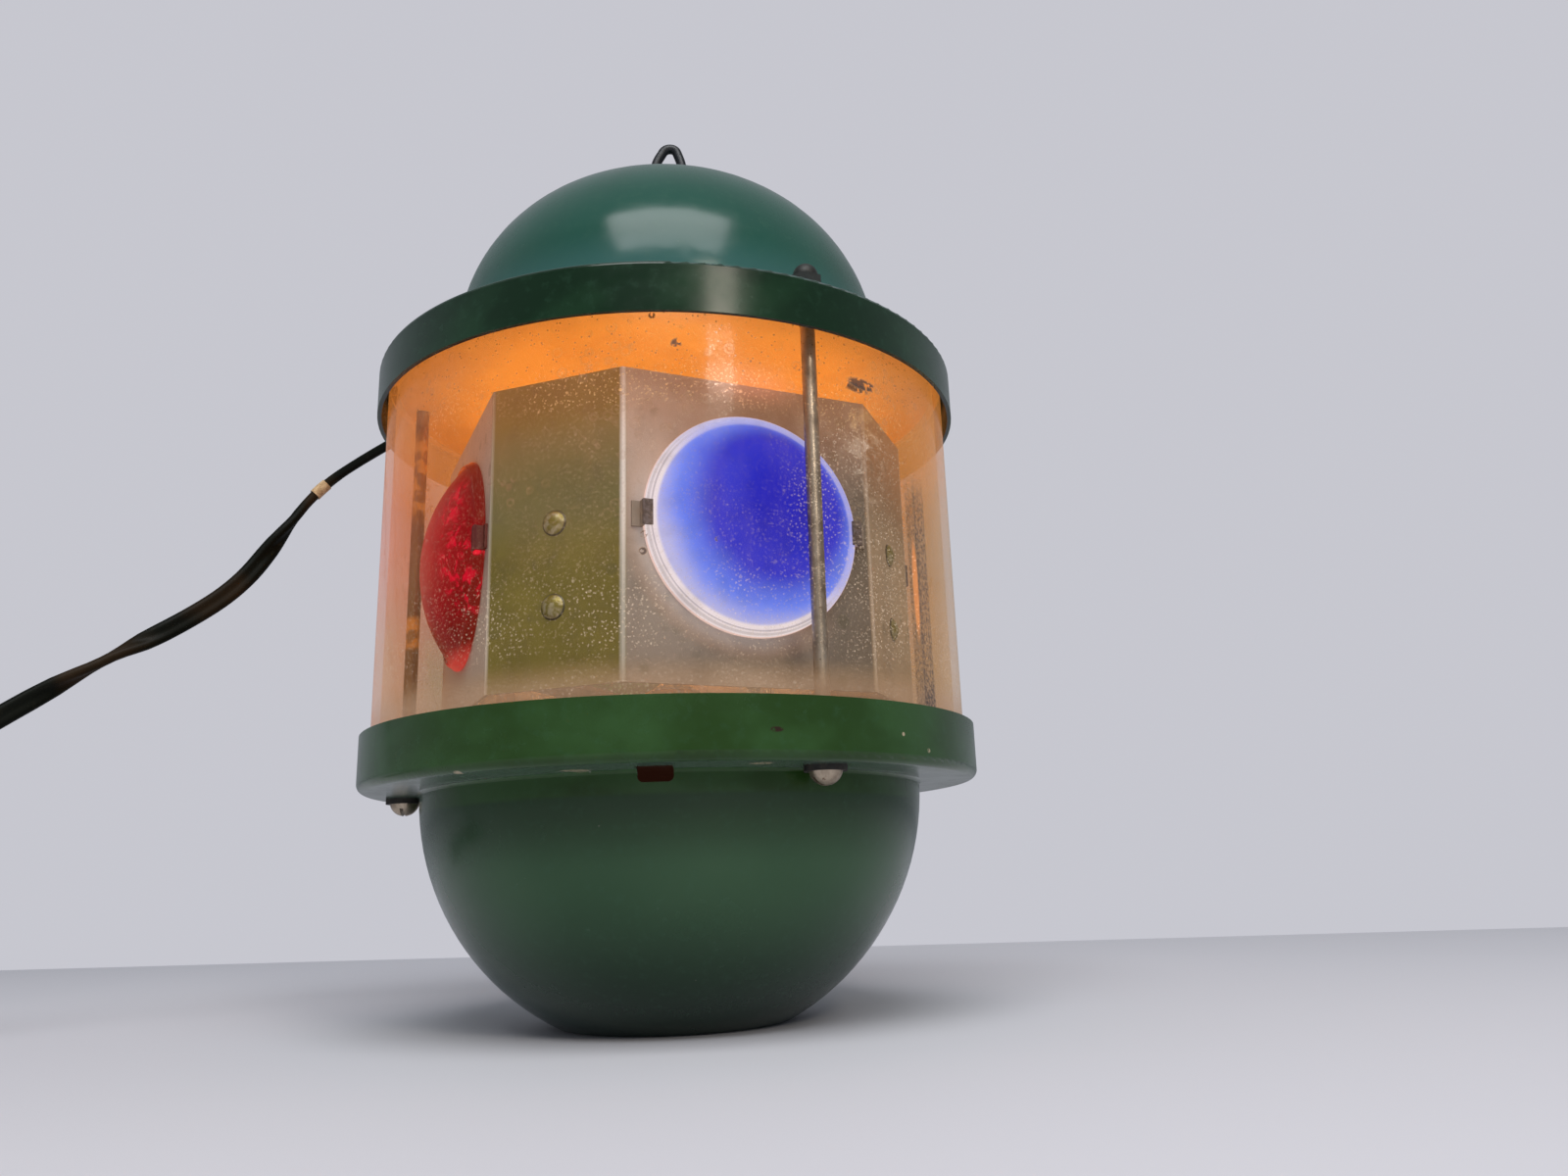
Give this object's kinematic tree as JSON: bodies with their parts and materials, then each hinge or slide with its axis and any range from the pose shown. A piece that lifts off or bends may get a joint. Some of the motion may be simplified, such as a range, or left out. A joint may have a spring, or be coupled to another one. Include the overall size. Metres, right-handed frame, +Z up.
{
  "type": "rotating motion lamp",
  "caption": "Hanging motion lamp: a drum of coloured lenses turns round a bulb inside a clear tube between two enamelled pressings.",
  "frame": {"origin": "centre of the flat foot under the bowl", "axes": "+Z up along the drum's axis to the hanging loop; -Y is the side seen from the front"},
  "size_m": [0.3943, 0.15, 0.2391],
  "materials": {
    "green_enamel": "gloss",
    "clear_plastic": "clear, dusty and finely scratched",
    "zinc_steel": "dull zinc plate",
    "bright_steel": "plated",
    "fibre": "matt",
    "dark_nut": "darkened, satin",
    "loop_wire": "black",
    "cream_enamel": "gloss",
    "drum_sheet": "satin",
    "aluminium": "satin",
    "brass": "satin",
    "gear_fibre": "pressed fibre",
    "bakelite": "moulded",
    "porcelain": "glazed",
    "clear_glass": "clear",
    "tungsten": "drawn wire",
    "blue_lens": "clear coloured",
    "red_lens": "clear coloured",
    "amber_lens": "clear coloured",
    "green_lens": "clear coloured",
    "clip_steel": "darkened",
    "cord_vinyl": "satin",
    "tape": "paper tape",
    "lead_red": "vinyl",
    "lead_white": "vinyl"
  },
  "bodies": {
    "housing": {"bottom_bowl": "green_enamel", "top_cap": "green_enamel", "hanging_loop": "loop_wire", "base_plate": "zinc_steel", "reflector_plate": "cream_enamel", "clear_tube": "clear_plastic", "tie_bolts": "bright_steel", "fibre_washers": "fibre", "nut_washers": "zinc_steel", "cap_nuts": "dark_nut", "drum_spindle": "bright_steel", "spindle_nut": "zinc_steel", "thrust_washer": "fibre", "hub_clip": "bright_steel", "motor_case": "zinc_steel", "motor_screws": "zinc_steel", "motor_nuts": "zinc_steel", "lampholder_body": "porcelain", "lampholder_ring": "bakelite", "lampholder_shell": "brass", "lampholder_contact": "brass", "bulb_glass": "clear_glass", "bulb_stem": "clear_glass", "bulb_filament": "tungsten", "bulb_cap": "brass", "terminal_block": "bakelite", "terminal_screws": "brass", "lamp_leads": "lead_white", "motor_lead": "lead_red", "lead_ties": "fibre", "strain_relief": "cord_vinyl", "cord_tail": "cord_vinyl", "mains_cord": "cord_vinyl", "cord_tape": "tape", "cord_coil": "cord_vinyl", "plug_lead": "cord_vinyl", "plug_body": "bakelite", "plug_pins": "brass"},
    "drum": {"drum_shell": "drum_sheet", "drum_carrier": "zinc_steel", "drum_hub": "brass", "drum_gear": "gear_fibre", "drum_rivets": "aluminium", "hub_screws": "zinc_steel", "lens_blue": "blue_lens", "lens_amber": "amber_lens", "lens_green": "green_lens", "lens_red": "red_lens", "lens_clips": "clip_steel"},
    "motor_rotor": {"motor_shaft": "bright_steel", "motor_pinion": "brass"}
  },
  "joints": [
    {"name": "drum_spin", "type": "hinge", "parent": "housing", "child": "drum", "pos_m": [0, 0, 0.07], "axis": [0, 0, 1], "continuous": true},
    {"name": "pinion_spin", "type": "hinge", "parent": "housing", "child": "motor_rotor", "pos_m": [0, 0.0305, 0.067], "axis": [0, 0, 1], "continuous": true}
  ],
  "couplings": [
    {"joint": "pinion_spin", "follows": "drum_spin", "ratio": -3.75}
  ]
}
